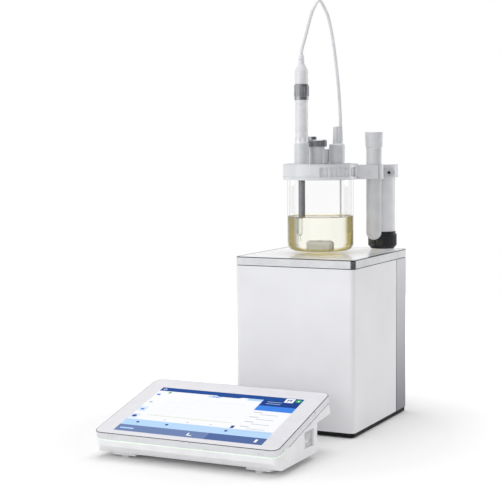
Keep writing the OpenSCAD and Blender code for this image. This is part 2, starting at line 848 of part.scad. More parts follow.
module vent_stopper() {
    color(dark) on_port(vent_at) {
        disc(4.9, vent_top, vent_top + 8.2);
        disc(3.2 - loose_gap, vent_top - 8, vent_top + eps);
    }
}

module blanking_plug() {
    color(white) on_port(blank_at) difference() {
        disc(4.6, head_top + loose_gap, blank_top);
        difference() {
            disc(3.6 + loose_gap, head_top - 1, head_top + 6 + loose_gap);
            disc(2.4 - loose_gap, head_top - 2, head_top + 8);
        }
    }
}

// Castellated adapter that centres the electrode in its port
module electrode_adapter() {
    adapter_r = el_head_d / 2 + 0.2;
    color(white) on_port(electrode_at) difference() {
        union() {
            disc(adapter_r, port_top, adapter_top);
            disc(port_d / 2 - 2, port_top - 12, port_top + eps);
        }
        disc(shaft_el_d / 2, port_top - 13, adapter_top + 1);
        for (i = [0 : 7]) rotate(i * 45 + 10) translate([adapter_r - 1.6, -0.8, adapter_top - 4])
            cube([3, 1.6, 5]);
    }
}

module electrode_shaft() {
    color(steel) on_port(electrode_at) disc(shaft_el_d / 2, stem_top_z, adapter_top);
}

// Clear stem, bulb and the two platinum pins below it
module electrode_tip() {
    bulb_z = tip_end_z + 10;
    stem_r = shaft_el_d / 2 - 0.4;
    color([0.9, 0.92, 0.9, 0.5]) on_port(electrode_at) {
        disc(stem_r, bulb_z, stem_top_z);
        translate([0, 0, bulb_z]) sphere(stem_r);
        for (s = [-1, 1]) translate([s * 1.2, 0, 0]) disc(0.5, tip_end_z, bulb_z);
    }
}

module electrode_head() {
    r = el_head_d / 2;
    color(white) on_port(electrode_at) rotate_extrude() polygon([[0, adapter_top], [r, adapter_top],
        [r, el_head_top - 5], [r - 0.4, el_head_top - 4.6], [r - 0.4, el_head_top - 3.8],
        [r, el_head_top - 3.4], [r, el_head_top], [0, el_head_top]]);
}

// Knurled collar that locks the plug on the electrode's head
module electrode_collar() {
    r = collar_d / 2;
    core_r = el_head_d / 2 - 1.2;
    color(dark) on_port(electrode_at) difference() {
        rotate_extrude() polygon([[core_r, el_head_top], [r - 0.5, el_head_top],
            [r - 0.5, el_head_top + 3.6], [r, el_head_top + 4.2], [r, collar_top - 2],
            [r - 0.6, collar_top], [core_r, collar_top]]);
        grooves(22, r + 0.45, 0.9, el_head_top + 4.6, collar_top - 2.2);
    }
}

module electrode_plug() {
    r = el_head_d / 2 + 0.3;
    core_r = el_head_d / 2 - 1.2 - loose_gap;
    cyl_top = collar_top + plug_cyl_h;
    color(white) on_port(electrode_at) rotate_extrude() polygon([[0, el_head_top], [core_r, el_head_top],
        [core_r, collar_top + loose_gap], [r - 0.5, collar_top + loose_gap], [r, collar_top + 0.8],
        [r, cyl_top - 3], [r - 0.8, cyl_top - 1], [lead_d / 2 + 2.1, cyl_top + plug_cone_h],
        [0, cyl_top + plug_cone_h]]);
}

// Segmented strain relief on the plug
module lead_boot() {
    r = lead_d / 2 + 1.7;
    rings = 3;
    pitch = boot_h / rings;
    color(white) on_port(electrode_at) difference() {
        translate([0, 0, boot_z]) cylinder(h = boot_h, r1 = r, r2 = r - 0.6);
        for (i = [0 : rings - 1], s = [0, 180]) rotate(s + i * 90)
            translate([lead_d / 2 + 0.1, -5, boot_z + (i + 0.35) * pitch]) cube([4, 10, 1.1]);
    }
}

module gland() {
    r = gland_d / 2;
    z = head_top + gland_seat;
    shoulder = 2;
    color(port_grey) difference() {
        on_port(gland_body_at) rotate_extrude() {
            translate([0, z]) square([r, gland_top - z - shoulder]);
            translate([0, gland_top - shoulder]) square([r - shoulder, shoulder]);
            intersection() {
                translate([r - shoulder, gland_top - shoulder]) circle(shoulder);
                translate([r - shoulder, gland_top - shoulder]) square(shoulder);
            }
        }
        on_port(gland_at) {
            disc(insert_r, gland_top - 14, gland_top + 1);
            at_polar([0, 0], lead_hole_at) disc(1, z - 1, gland_top - 13);
        }
    }
}

// Tapered, fluted insert that the lead goes into
module lead_insert() {
    top_r = 5.05;
    flutes = 6;
    color(port_grey) on_port(gland_at) {
        difference() {
            translate([0, 0, gland_top]) cylinder(h = insert_top - gland_top, r1 = 5.75, r2 = top_r);
            for (i = [0 : flutes - 1]) rotate(lead_hole_at[1] + 30 + i * 360 / flutes)
                translate([top_r + 1.9, 0, gland_top + 3]) rotate([0, -2, 0])
                    cylinder(h = insert_top - gland_top + 2, r = 2.2);
        }
        disc(insert_r, gland_top - 12, gland_top + eps);
    }
}

module dosing_tube() {
    color(metal) on_port(gland_at) at_polar([0, 0], lead_hole_at) disc(1, tube_end_z, head_top + gland_seat);
}

// Open-topped parking tube for an electrode that isn't in use
module parking_tube() {
    cup_r = park_r + 1.6;
    cup_z = park_cup_z;
    cup_top = cup_z + park_cup_h;
    in_r = park_r - park_wall;
    color(port_grey) on_park() rotate_extrude() difference() {
        union() {
            translate([0, park_bottom + park_r]) square([park_r, cup_z - park_bottom - park_r]);
            intersection() {
                translate([0, park_bottom + park_r]) circle(park_r);
                translate([0, park_bottom]) square(park_r);
            }
            polygon([[0, cup_z - 1], [park_r, cup_z - 1], [park_r + 0.9, cup_z], [cup_r - 0.2, cup_top - 2],
                [cup_r, cup_top - 1.6], [cup_r, cup_top], [0, cup_top]]);
        }
        translate([-1, park_bottom + park_r]) square([in_r + 1, cup_top]);
        translate([0, park_bottom + park_r]) circle(in_r);
        polygon([[-1, cup_z + 1], [in_r, cup_z + 1], [in_r + 1.2, cup_z + 3], [in_r + 1.4, cup_top + 1],
            [-1, cup_top + 1]]);
    }
}

// ---- sensor lead ----

function unit(v) = v / norm(v);

// Catmull-Rom point between route points i and i + 1, at t from 0 to 1
function lead_point(i, t) =
    let (n = len(lead_route) - 1,
        a = lead_route[max(i - 1, 0)], b = lead_route[i],
        c = lead_route[min(i + 1, n)], d = lead_route[min(i + 2, n)])
    0.5 * (2 * b + (c - a) * t + (2 * a - 5 * b + 4 * c - d) * t * t + (3 * b - a - 3 * c + d) * t * t * t);

lead_line = [for (i = [0 : len(lead_route) - 2], s = [0 : lead_steps - 1]) lead_point(i, s / lead_steps),
    lead_route[len(lead_route) - 1]];

// Direction of the lead at ring k: upright where it leaves the boot and where it enters the insert
function lead_heading(k) =
    let (n = len(lead_line) - 1)
    k == 0 ? [0, 0, 1] : k == n ? [0, 0, -1] : unit(lead_line[k + 1] - lead_line[k - 1]);

function lead_ring(k) =
    let (along = lead_heading(k),
        side = unit([1, 0, 0] - (along * [1, 0, 0]) * along),
        up = cross(along, side))
    [for (j = [0 : lead_sides - 1]) lead_line[k]
        + lead_d / 2 * (side * cos(j * 360 / lead_sides) + up * sin(j * 360 / lead_sides))];

module electrode_lead() {
    rings = len(lead_line);
    n = lead_sides;
    color(white) polyhedron(
        points = [for (k = [0 : rings - 1]) each lead_ring(k)],
        faces = [[for (j = [0 : n - 1]) j],
            [for (j = [n - 1 : -1 : 0]) (rings - 1) * n + j],
            for (k = [0 : rings - 2], j = [0 : n - 1])
                [k * n + j, (k + 1) * n + j, (k + 1) * n + (j + 1) % n, k * n + (j + 1) % n]]);
}

// ---- terminal ----

// The sloping face: x along its width, y up the slope, z out of the glass
module on_face() {
    translate([term_x, term_y, term_front_z]) rotate([term_tilt, 0, 0]) children();
}

// A slab parallel to the face, from depth d0 down to depth d1, set in by i from the edges
module face_slab(i, d0, d1) {
    translate([i, i, -d1]) linear_extrude(d1 - d0)
        round_rect(term_w - 2 * i, term_d - 2 * i, max(term_r - i, 1));
}

// Point of the side view at v up the slope and depth w below the glass: [y, z]
function side_point(v, w) = [v * cos(term_tilt) + w * sin(term_tilt),
    term_front_z + v * sin(term_tilt) - w * cos(term_tilt)];

module terminal_frame() {
    color(white) on_face() difference() {
        union() {
            face_slab(0, 0.2, frame_t);
            face_slab(1.2, frame_t - eps, part_w);
        }
        face_slab(glass_edge, -1, glass_t);
        face_slab(term_wall + 1, glass_t - 1, part_w + 1);
    }
}

module terminal_glass() {
    color("#E6E5EA") on_face() face_slab(glass_edge, 0, glass_t);
}

module display_panel() {
    color("#2B5FA8") on_face()
        translate([screen_at[0] - 3, screen_at[1] - 3, -glass_t - display_t])
            cube([screen_w + 6, screen_d + 6, display_t]);
}

// Status light that shows along the front edge and round both front corners
module light_guide() {
    wrap = 25;
    color("#D9F2DC") on_face() intersection() {
        difference() {
            face_slab(0.2, frame_t, part_w);
            face_slab(1.2, frame_t - 1, part_w + 1);
        }
        translate([-1, -1, -part_w - 1]) cube([term_w + 2, wrap + 1, part_w]);
    }
}

// The housing's side view, set in by i: sloping top, overhang at the back, rear wall and floor
function housing_side(i) =
    let (front_y = side_point(0, part_w)[0], back_y = side_point(term_d, part_w)[0],
        top = side_point(term_d, part_w)[1], lip_z = top - overhang_t)
    [side_point(-1, part_w - i), [back_y - i, top + i], [back_y - i, lip_z + i],
        [term_back_y - i, lip_z - 3 + i], [term_back_y - 1 - i, term_floor_z + i],
        [9 + i, term_floor_z + i], [front_y + i, side_point(0, part_w)[1] - 4 + i]];

module housing_block(i) {
    intersection() {
        translate([term_x, term_y, 0]) rotate([90, 0, 90]) linear_extrude(term_w) polygon(housing_side(i));
        on_face() face_slab(i, -1, 90);
    }
}

module socket_niche(depth, grow = 0) {
    translate([term_x + term_w - depth, term_y + socket_at[0] - socket_w / 2 - grow,
        socket_at[1] - socket_h / 2 - grow])
        cube([depth + 1, socket_w + 2 * grow, socket_h + 2 * grow]);
}

module terminal_housing() {
    foot_w = 28;
    foot_at = 13;
    color(white) difference() {
        union() {
            difference() {
                housing_block(0);
                difference() {
                    housing_block(term_wall);
                    socket_niche(term_wall + 3, 2);
                }
                on_face() face_slab(term_wall, -1, part_w);
            }
            for (x = [foot_at, term_w - foot_at - foot_w], y = [14, term_back_y - 20])
                translate([term_x + x, term_y + y, pad_h]) linear_extrude(term_floor_z - pad_h + 1)
                    round_rect(foot_w, 12, 3);
        }
        socket_niche(3);
        for (x = [50, term_w - 50], y = [30, term_back_y - 14])
            translate([term_x + x, term_y + y, term_floor_z - 1]) cylinder(h = term_wall + 2, r = 1.7);
    }
}

module terminal_pads() {
    pad_w = 9;
    color(dark) for (x = [22.5, term_w - 22.5 - pad_w], y = [16, term_back_y - 18])
        translate([term_x + x, term_y + y, 0]) linear_extrude(pad_h) round_rect(pad_w, 8, 2);
}

module terminal_board() {
    depth = glass_t + display_t + 4;
    color(board_green) on_face() {
        translate([30, 30, -depth - 1.6]) cube([144, 72, 1.6]);
        for (x = [36, 168], y = [36, 96]) translate([x, y, -depth - eps]) cylinder(h = 4 + eps, r = 2);
        translate([60, 50, -depth - 3.4]) cube([22, 22, 1.8 + eps]);
        translate([110, 46, -depth - 4.4]) cube([30, 20, 2.8 + eps]);
    }
}

// Socket plate at the bottom of the side niche, with a flat and a square socket
module terminal_socket() {
    color(silver) translate([term_x + term_w - 3, term_y + socket_at[0], socket_at[1]]) {
        difference() {
            translate([0, -socket_w / 2, -socket_h / 2]) cube([0.8, socket_w, socket_h]);
            translate([-1, -7, -4.5]) cube([3, 14, 3.2]);
        }
        translate([0.4, -5, 2]) cube([1, 10, 3]);
    }
}

module terminal_screws() {
    color(steel) for (x = [50, term_w - 50], y = [30, term_back_y - 14])
        translate([term_x + x, term_y + y, term_floor_z]) difference() {
            cylinder(h = term_wall + 1, r = 1.7);
            translate([0, 0, -1]) cylinder(h = 1.8, r = 0.9, $fn = 6);
        }
}

base_plate();
feet();
front_cover();
rear_cover();
cover_seal();
top_band();
tray_seal();
top_tray();
mount_plate();
chassis();
mainboard();
board_parts();
power_board();
stirrer_motor();
magnet_holder();
drive_magnets();
socket_panel();
power_socket();
data_sockets();
sensor_sockets();
cover_screws();
column_base();
guide_post();
guide_bush();
column();
clamp_nut();
arm();
clamp_knob();
clamp_screw();
head_plate();
head_seal();
locking_ring();
vessel();
sample();
stir_bar();
filling_cap();
vent_stopper();
blanking_plug();
electrode_adapter();
electrode_shaft();
electrode_tip();
electrode_head();
electrode_collar();
electrode_plug();
lead_boot();
electrode_lead();
gland();
lead_insert();
dosing_tube();
parking_tube();
terminal_frame();
terminal_glass();
display_panel();
light_guide();
terminal_housing();
terminal_pads();
terminal_board();
terminal_socket();
terminal_screws();
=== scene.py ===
"""Looks of the automatic titrator: finishes, screen picture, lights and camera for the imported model."""

import math

import bpy
from mathutils import Matrix, Vector


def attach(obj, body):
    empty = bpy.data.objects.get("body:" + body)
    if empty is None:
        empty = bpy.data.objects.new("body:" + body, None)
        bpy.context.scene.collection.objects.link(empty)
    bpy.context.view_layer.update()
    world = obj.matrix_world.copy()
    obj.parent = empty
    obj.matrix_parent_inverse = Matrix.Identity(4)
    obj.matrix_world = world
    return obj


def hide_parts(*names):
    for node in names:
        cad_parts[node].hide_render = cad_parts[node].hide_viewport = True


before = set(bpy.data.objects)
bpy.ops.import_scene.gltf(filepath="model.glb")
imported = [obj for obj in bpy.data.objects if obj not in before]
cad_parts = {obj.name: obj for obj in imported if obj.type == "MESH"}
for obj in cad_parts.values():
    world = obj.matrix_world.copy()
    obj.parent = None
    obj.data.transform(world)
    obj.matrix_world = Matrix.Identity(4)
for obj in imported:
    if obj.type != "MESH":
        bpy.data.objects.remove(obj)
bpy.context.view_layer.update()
MM = 0.001


# ---- places shared by finishes and pieces, in millimetres ----

TILT = math.radians(14)
FACE_OUT = Vector((0, -math.sin(TILT), math.cos(TILT)))
FACE_CORNER = Vector((-103.5, -175.5, 27))
VESSEL_AXIS = (32.5, 86.5)
SAMPLE_FOOT, SAMPLE_LEVEL = 193.7, 231
BAND_BEVEL = 189.1


# ---- camera ----

def add_camera(place_mm, yaw, pitch, roll, focal_px, frame_px=500):
    """A camera at a place in millimetres, turned as a tripod head is: yaw, then pitch, then roll."""
    data = bpy.data.cameras.new("camera")
    data.sensor_width = 36
    data.lens = focal_px / frame_px * data.sensor_width
    data.clip_start, data.clip_end = 0.01, 50
    cam = bpy.data.objects.new("camera", data)
    bpy.context.scene.collection.objects.link(cam)
    y, p, r = (math.radians(a) for a in (yaw, pitch, roll))
    ahead = Vector((-math.sin(y) * math.cos(p), math.cos(y) * math.cos(p), math.sin(p)))
    level = Vector((math.cos(y), math.sin(y), 0))
    over = level.cross(ahead)
    right = level * math.cos(r) + over * math.sin(r)
    up = right.cross(ahead)
    turn = Matrix((right, up, -ahead)).transposed().to_4x4()
    cam.matrix_world = Matrix.Translation(Vector(place_mm) * MM) @ turn
    bpy.context.scene.camera = cam


add_camera((615.6, -1274.0, 317.8), yaw=26.27, pitch=-4.80, roll=-0.39, focal_px=1319.9)


# ---- colours and nodes ----

# Places of the colour sockets on a Mix node, where several sockets share one name
COLOUR_A, COLOUR_B, COLOUR_OUT = 6, 7, 2


def linear(code):
    """An sRGB hex code as linear red, green and blue, with a full alpha."""
    parts = [int(code[i : i + 2], 16) / 255 for i in (1, 3, 5)]
    return [c / 12.92 if c <= 0.04045 else ((c + 0.055) / 1.055) ** 2.4 for c in parts] + [1.0]


def feed(tree, node, inputs):
    """Fills a node's inputs: a socket is linked, and anything else is the input's own value."""
    for key, value in inputs.items():
        if isinstance(value, bpy.types.NodeSocket):
            tree.links.new(value, node.inputs[key])
        else:
            node.inputs[key].default_value = value
    return node


def add_node(tree, kind, inputs=None, **settings):
    """Adds a node to a tree, with its settings, values and links."""
    node = tree.nodes.new(kind)
    for key, value in settings.items():
        setattr(node, key, value)
    return feed(tree, node, inputs or {})


def start_material(name, **sockets):
    """A new material, its tree and its Principled shader, with values on the shader's sockets."""
    material = bpy.data.materials.new(name)
    material.use_nodes = True
    tree = material.node_tree
    shader = tree.nodes["Principled BSDF"]
    feed(tree, shader, {socket.replace("_", " "): value for socket, value in sockets.items()})
    return material, tree, shader


# ---- how surfaces vary ----

# Patterns of real surfaces: the size of their marks in millimetres, the layers of finer detail in them
# and how rugged those are. Orange peel and mould grain are drawn coarse enough to show.
FLOW_MARKS = (14, 3, 0.5)
PIGMENT_CLOUDS = (10, 3, 0.5)
PAINT_WAVES = (60, 2, 0.5)
ORANGE_PEEL = (0.9, 2, 0.5)
PAINT_FLAKES = (0.12, 1, 0.5)
METAL_CLOUDS = (18, 3, 0.5)
TOOL_LINES = (0.15, 2, 0.5)
PIGMENT_GRAINS = (0.25, 1, 0.5)
SATIN_GRAIN = (0.3, 2, 0.5)
FRAME_GRAIN = (0.35, 3, 0.5)
FROST = (0.4, 2, 0.5)
FROST_CLOUDS = (12, 3, 0.5)
GUIDE_CLOUDS = (30, 1, 0.5)
GLASS_SEEDS = (9, 1, 0.5)
WALL_WAVES = (12, 1, 0.5)
LIQUID_WAVES = (14, 1, 0.5)
SCREEN_PIXELS = (0.18, 0, 0.5)
PATTERN_LOW, PATTERN_HIGH = 0.3, 0.7


def lay_pattern(tree, pattern, stretch=(1, 1, 1)):
    """Lays a pattern over a piece's own coordinates; what comes out runs mostly from 0.3 to 0.7."""
    size_mm, detail, rugged = pattern
    at = add_node(tree, "ShaderNodeTexCoord").outputs["Object"]
    place = add_node(tree, "ShaderNodeMapping", {"Vector": at, "Scale": stretch}).outputs["Vector"]
    marks = add_node(tree, "ShaderNodeTexNoise", {
        "Vector": place, "Scale": 1 / (size_mm * MM), "Detail": detail, "Roughness": rugged,
    })
    return marks.outputs["Fac"]


def height_on(tree):
    """Height of a point of the piece above the floor, in metres."""
    at = add_node(tree, "ShaderNodeTexCoord").outputs["Object"]
    return add_node(tree, "ShaderNodeSeparateXYZ", {"Vector": at}).outputs["Z"]


def add_finish(name, colours, roughness, clouds, sheen, grain, depth_mm, stretch=(1, 1, 1), **sockets):
    """A finish whose colour, gloss and relief each follow a pattern.

    colours are its darker and lighter hex colours, and roughness is its least and most. depth_mm is the
    depth of the grain, and stretch draws the patterns of gloss and relief out along the axes."""
    material, tree, shader = start_material(name, **sockets)
    ramp = add_node(tree, "ShaderNodeValToRGB", {"Fac": lay_pattern(tree, clouds)})
    for stop, position, code in zip(ramp.color_ramp.elements, (PATTERN_LOW, PATTERN_HIGH), colours):
        stop.position = position
        stop.color = linear(code)
    gloss = add_node(tree, "ShaderNodeMapRange", {
        "Value": lay_pattern(tree, sheen, stretch), "From Min": PATTERN_LOW, "From Max": PATTERN_HIGH,
        "To Min": roughness[0], "To Max": roughness[1],
    })
    relief = add_node(tree, "ShaderNodeBump", {
        "Height": lay_pattern(tree, grain, stretch), "Distance": depth_mm * MM, "Strength": 1.0,
    })
    feed(tree, shader, {"Base Color": ramp.outputs["Color"], "Roughness": gloss.outputs["Result"],
                        "Normal": relief.outputs["Normal"]})
    return material


def colour_over(material, share, code):
    """Lays another colour over a finish, by a share from 0 to 1."""
    tree = material.node_tree
    base = tree.nodes["Principled BSDF"].inputs["Base Color"]
    under = base.links[0].from_socket
    both = add_node(tree, "ShaderNodeMix", {"Factor": share, COLOUR_A: under, COLOUR_B: linear(code)},
                    data_type="RGBA")
    tree.links.new(both.outputs[COLOUR_OUT], base)


def show_mix(tree, share, first, second):
    """Makes a mix of two shaders what the material shows."""
    mix = add_node(tree, "ShaderNodeMixShader", {0: share, 1: first, 2: second})
    feed(tree, tree.nodes["Material Output"], {"Surface": mix.outputs[0]})


def clear_shadow(tree, code):
    """Gives a clear solid a pale tinted shadow in place of a dark one."""
    clear = add_node(tree, "ShaderNodeBsdfTransparent", {"Color": linear(code)})
    shadow = add_node(tree, "ShaderNodeLightPath").outputs["Is Shadow Ray"]
    show_mix(tree, shadow, tree.nodes["Principled BSDF"].outputs[0], clear.outputs[0])


# ---- kinds of finish ----

def moulded(name, dark, light, roughness, grain_mm=0.35, depth_mm=0.006, **sockets):
    """Injection-moulded plastic: faint flow marks in colour and gloss, and a fine eroded grain."""
    return add_finish(name, (dark, light), (roughness * 0.85, roughness * 1.15), FLOW_MARKS, FLOW_MARKS,
                      (grain_mm, 3, 0.6), depth_mm, Coat_Roughness=0.06, **sockets)


def metallic_plastic(name, dark, light, roughness, metallic):
    """Plastic with metal pigment: smooth, with a soft reflection that follows its curves."""
    return add_finish(name, (dark, light), (roughness * 0.9, roughness * 1.1), PIGMENT_CLOUDS,
                      PIGMENT_GRAINS, SATIN_GRAIN, 0.003, Metallic=metallic, Coat_Weight=0.2,
                      Coat_Roughness=0.1)


def lined_metal(name, dark, light, roughness, line_stretch):
    """Metal with fine lines that run up it; the smaller line_stretch is, the longer they are."""
    return add_finish(name, (dark, light), (roughness * 0.7, roughness * 1.3), METAL_CLOUDS, TOOL_LINES,
                      TOOL_LINES, 0.002, stretch=(1, 1, line_stretch), Metallic=1.0)


def cover_paint():
    """Powder coat on the front cover: soft waviness, orange peel and fine specks of gloss."""
    return add_finish("satin_white_powder_coat", ("#E3E3E6", "#E9E9EC"), (0.342, 0.418), PAINT_WAVES,
                      PAINT_FLAKES, ORANGE_PEEL, 0.01, IOR=1.48, Coat_Weight=0.25, Coat_Roughness=0.18)


def rear_cover_paint(foot_mm=15, head_mm=185):
    """Metallic paint on the rear cover, with painted shade that darkens it towards the foot."""
    paint = add_finish("satin_silver_paint", ("#D7D8DC", "#D9DADE"), (0.306, 0.374), PAINT_WAVES,
                       PAINT_FLAKES, ORANGE_PEEL, 0.008, Metallic=0.5, Coat_Weight=0.2,
                       Coat_Roughness=0.15)
    tree = paint.node_tree
    # painted shade: the colour darkens towards #787983 from head_mm down to foot_mm
    share = add_node(tree, "ShaderNodeMapRange", {
        "Value": height_on(tree), "From Min": head_mm * MM, "From Max": foot_mm * MM,
    })
    colour_over(paint, share.outputs["Result"], "#787983")
    return paint


def band_polish():
    """Polished chrome: near mirror gloss, with a painted dark reflection along the upper bevel of the band.
    """
    metal = lined_metal("polished_chrome", "#DADBDE", "#E8E9EC", 0.12, 0.02)
    tree = metal.node_tree
    # painted reflection: above the bevel's height the chrome is coloured dark
    high = add_node(tree, "ShaderNodeMath", {0: height_on(tree), 1: BAND_BEVEL * MM},
                    operation="GREATER_THAN")
    colour_over(metal, high.outputs[0], "#5A5B60")
    return metal


def frame_paint(lip_mm=0.6, facing_out=0.9):
    """Painted frame of the terminal: satin grey sides, and a dark lip that faces out with the glass."""
    paint = add_finish("satin_silver_frame_paint", ("#DADBDE", "#E2E3E6"), (0.26, 0.32), FLOW_MARKS,
                       FLOW_MARKS, FRAME_GRAIN, 0.004, Coat_Weight=0.3, Coat_Roughness=0.08)
    tree = paint.node_tree
    coords = add_node(tree, "ShaderNodeTexCoord").outputs
    tests = []
    for vector, limit in ((coords["Object"], (FACE_CORNER.dot(FACE_OUT) - lip_mm) * MM),
                          (coords["Normal"], facing_out)):
        reach = add_node(tree, "ShaderNodeVectorMath", {0: vector, 1: FACE_OUT}, operation="DOT_PRODUCT")
        test = add_node(tree, "ShaderNodeMath", {0: reach.outputs["Value"], 1: limit},
                        operation="GREATER_THAN")
        tests.append(test.outputs[0])
    on_lip = add_node(tree, "ShaderNodeMath", {0: tests[0], 1: tests[1]}, operation="MAXIMUM").outputs[0]
    metallic = add_node(tree, "ShaderNodeMapRange", {"Value": on_lip, "To Min": 0.6, "To Max": 0.3})
    feed(tree, tree.nodes["Principled BSDF"], {"Metallic": metallic.outputs["Result"]})
    colour_over(paint, on_lip, "#2E2C2D")
    return paint


def guide_acrylic():
    """Acrylic light guide: it glows a very pale green, a little cloudy along its length."""
    glow = add_finish("pale_green_acrylic", ("#D8E9D8", "#E0F0E0"), (0.39, 0.41), GUIDE_CLOUDS,
                      GUIDE_CLOUDS, SATIN_GRAIN, 0.0001, Emission_Strength=0.26)
    tree, shader = glow.node_tree, glow.node_tree.nodes["Principled BSDF"]
    feed(tree, shader, {"Emission Color": shader.inputs["Base Color"].links[0].from_socket})
    return glow


def tip_glass(code="#F0F2EE"):
    """Borosilicate bulb of the electrode: clear, with the slight waves of blown glass."""
    glass, tree, shader = start_material("clear_electrode_glass", Transmission_Weight=1.0, IOR=1.45)
    seeds = lay_pattern(tree, GLASS_SEEDS)
    relief = add_node(tree, "ShaderNodeBump", {"Height": seeds, "Distance": 0.004 * MM, "Strength": 1.0})
    gloss = add_node(tree, "ShaderNodeMapRange", {
        "Value": seeds, "From Min": PATTERN_LOW, "From Max": PATTERN_HIGH, "To Min": 0.0, "To Max": 0.012,
    })
    feed(tree, shader, {"Base Color": linear(code), "Roughness": gloss.outputs["Result"],
                        "Normal": relief.outputs["Normal"]})
    clear_shadow(tree, code)
    return glass


def vessel_glass(foot_mm=0.5):
    """Thin laboratory glass: seen straight through, greyer edge on, and tinted by the sample at its foot."""
    glass, tree, _ = start_material("clear_vessel_glass")
    edge = add_node(tree, "ShaderNodeLayerWeight", {"Blend": 0.5}).outputs["Facing"]
    share = add_node(tree, "ShaderNodeMapRange", {"Value": edge, "From Min": 0.8, "From Max": 1.0})
    wall = add_node(tree, "ShaderNodeMix", {
        "Factor": share.outputs["Result"], COLOUR_A: linear("#FEFEFE"), COLOUR_B: linear("#CFD1D1"),
    }, data_type="RGBA")
    low = add_node(tree, "ShaderNodeMath", {0: height_on(tree), 1: (SAMPLE_FOOT + foot_mm) * MM},
                   operation="LESS_THAN")
    tone = add_node(tree, "ShaderNodeMix", {
        "Factor": low.outputs[0], COLOUR_A: wall.outputs[COLOUR_OUT], COLOUR_B: linear("#E4DCB4"),
    }, data_type="RGBA")
    clear = add_node(tree, "ShaderNodeBsdfTransparent", {"Color": tone.outputs[COLOUR_OUT]})
    relief = add_node(tree, "ShaderNodeBump", {
        "Height": lay_pattern(tree, WALL_WAVES), "Distance": 0.004 * MM, "Strength": 1.0,
    })
    shine = add_node(tree, "ShaderNodeBsdfGlossy", {
        "Roughness": 0.03, "Color": linear("#FFFFFF"), "Normal": relief.outputs["Normal"],
    })
    fresnel = add_node(tree, "ShaderNodeFresnel", {"IOR": 1.3})
    lit = add_node(tree, "ShaderNodeMath", {0: fresnel.outputs[0], 1: 0.12}, operation="MULTIPLY")
    show_mix(tree, lit.outputs[0], clear.outputs[0], shine.outputs[0])
    return glass


def yellow_sample(foot_mm=5):
    """Pale yellow liquid: nearly clear across its middle, golden at its foot, and golden where it is seen
    edge on, darkening there to dark olive as painted shade.
    """
    liquid, tree, shader = start_material("golden_sample", Transmission_Weight=1.0, IOR=1.33, Roughness=0.0)
    # the golden tint is the liquid's own; the dark olive at the most edge-on stop is painted shade
    edge = add_node(tree, "ShaderNodeLayerWeight", {"Blend": 0.5}).outputs["Facing"]
    depth = add_node(tree, "ShaderNodeValToRGB", {"Fac": edge})
    stops = depth.color_ramp.elements
    depth.color_ramp.interpolation = "EASE"
    stops[0].position, stops[0].color = 0.22, linear("#FDFCF1")
    stops[1].position, stops[1].color = 0.5, linear("#C4AB4A")
    stops.new(0.88).color = linear("#6E6228")
    foot = add_node(tree, "ShaderNodeMapRange", {
        "Value": height_on(tree), "From Min": (SAMPLE_FOOT + foot_mm) * MM, "From Max": SAMPLE_FOOT * MM,
    }, interpolation_type="SMOOTHSTEP")
    tone = add_node(tree, "ShaderNodeMix", {
        "Factor": foot.outputs["Result"], COLOUR_A: depth.outputs["Color"], COLOUR_B: linear("#CDB75E"),
    }, data_type="RGBA")
    relief = add_node(tree, "ShaderNodeBump", {
        "Height": lay_pattern(tree, LIQUID_WAVES), "Distance": 0.01 * MM, "Strength": 1.0,
    })
    feed(tree, shader, {"Base Color": tone.outputs[COLOUR_OUT], "Normal": relief.outputs["Normal"]})
    clear_shadow(tree, "#FCFAF0")
    return liquid


# ---- the finishes and the nodes that have them ----

# Powder coat on sheet metal: an even soft sheen with a faint orange peel
white_coat = cover_paint()
# Sprayed metallic paint: satin grey, with painted shade darker towards the foot
silver_paint = rear_cover_paint()
# Chrome, polished: mirrors the room, so it looks white; its dark upper edge is a painted reflection
band_chrome = band_polish()
# Bare steel, rolled or turned: mid grey with fine lines
plain_steel = lined_metal("machined_steel", "#9A9B9E", "#B2B3B6", 0.34, 0.04)
# ABS, glossy mould: clean white with sharp small highlights
white_abs = moulded("glossy_white_abs", "#E6E6E9", "#EEEEF0", 0.22, Coat_Weight=0.4)
# The same plastic from a polished mould: white and smooth, mirrors what stands on it
tray_abs = moulded("polished_white_abs", "#E6E6E9", "#ECECEE", 0.2, depth_mm=0.0003, Coat_Weight=0.2)
# Polyamide, moulded satin: light grey with soft highlights
grey_polyamide = moulded("light_grey_polyamide", "#D2D3D6", "#DADBDE", 0.3, Coat_Weight=0.25)
# The same plastic a shade darker, as painted shade on the clamp knob and on the socket in its side recess
shaded_grey_polyamide = moulded("mid_grey_polyamide", "#C0C1C5", "#C8C9CC", 0.3, Coat_Weight=0.2)
# Plastic with a little metal pigment: soft grey shading round the port sleeves
head_plastic = metallic_plastic("satin_grey_pigment_plastic", "#CCCED1", "#D5D6D9", 0.42, 0.1)
# Metallised plastic, matt: dark grey with broad highlights on the ribs
dark_metallised = metallic_plastic("matt_dark_metallised_plastic", "#8E8F93", "#9B9CA0", 0.32, 0.75)
# Plastic tube with a trace of pigment: nearly white, with a long soft highlight
column_plastic = metallic_plastic("column_grey_plastic", "#DCDDE0", "#E3E4E7", 0.34, 0.05)
# Metallic paint on a moulded frame: pale satin sides and a thin dark line round the glass
painted_frame = frame_paint()
# Moulded rubber, pale grey: dull, with no sharp highlight
pale_rubber = moulded("pale_grey_rubber", "#CDCFD2", "#D6D8DA", 0.6, grain_mm=0.5, depth_mm=0.01)
# Polypropylene: white, a touch waxy
electrode_white = moulded("white_polypropylene", "#D8D8DB", "#DFDFE2", 0.3, Coat_Weight=0.3)
# Epoxy tube: mid grey and glossy
shaft_epoxy = moulded("grey_epoxy_tube", "#85848A", "#908F95", 0.22, Coat_Weight=0.3)
# Glass-filled polyamide: near black with a fine dull grain
black_polyamide = moulded("black_polyamide", "#17181B", "#222428", 0.42, grain_mm=0.25, depth_mm=0.01)
